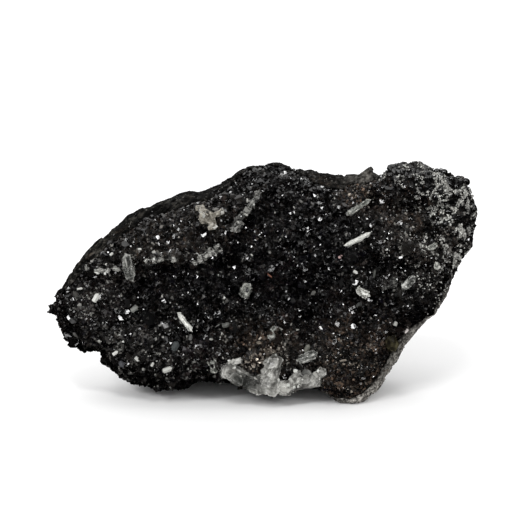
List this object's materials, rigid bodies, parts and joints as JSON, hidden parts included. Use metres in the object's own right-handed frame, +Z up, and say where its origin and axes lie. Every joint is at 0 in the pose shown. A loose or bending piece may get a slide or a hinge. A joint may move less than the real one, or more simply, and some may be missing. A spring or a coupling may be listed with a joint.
{
  "type": "crystal cluster",
  "caption": "Slab of dark host rock with one broad face coated in a druse of small black crystals, and pale quartz crystals on it and along its foot.",
  "frame": {"origin": "on the floor, under the middle of the specimen's box", "axes": "+Z up as the specimen rests; +X along its length, to the right seen from the crystal face; the crystal face looks towards -Y and leans back 15 degrees"},
  "size_m": [0.1086, 0.0402, 0.0578],
  "materials": {
    "host_rock": "rough, broken",
    "black_druse": "glossy crystal faces",
    "quartz": "translucent, glassy, cloudy inside",
    "olive_crystal": "translucent, glassy"
  },
  "bodies": {
    "root": {"matrix": "host_rock", "black_druse": "black_druse", "quartz_blade": "quartz", "quartz_rod": "quartz", "quartz_needle": "quartz", "quartz_leaf": "quartz", "quartz_leaf_left": "quartz", "quartz_twin": "quartz", "quartz_chip": "quartz", "quartz_chip_low": "quartz", "quartz_splinter": "quartz", "quartz_tablet": "quartz", "quartz_knot": "quartz", "quartz_stub": "quartz", "quartz_prism": "quartz", "quartz_cluster": "quartz", "quartz_streak": "quartz", "quartz_base": "quartz", "quartz_vein_left": "quartz", "quartz_vein_middle": "quartz", "quartz_vein_right": "quartz", "olive_crystal": "olive_crystal"}
  },
  "joints": []
}
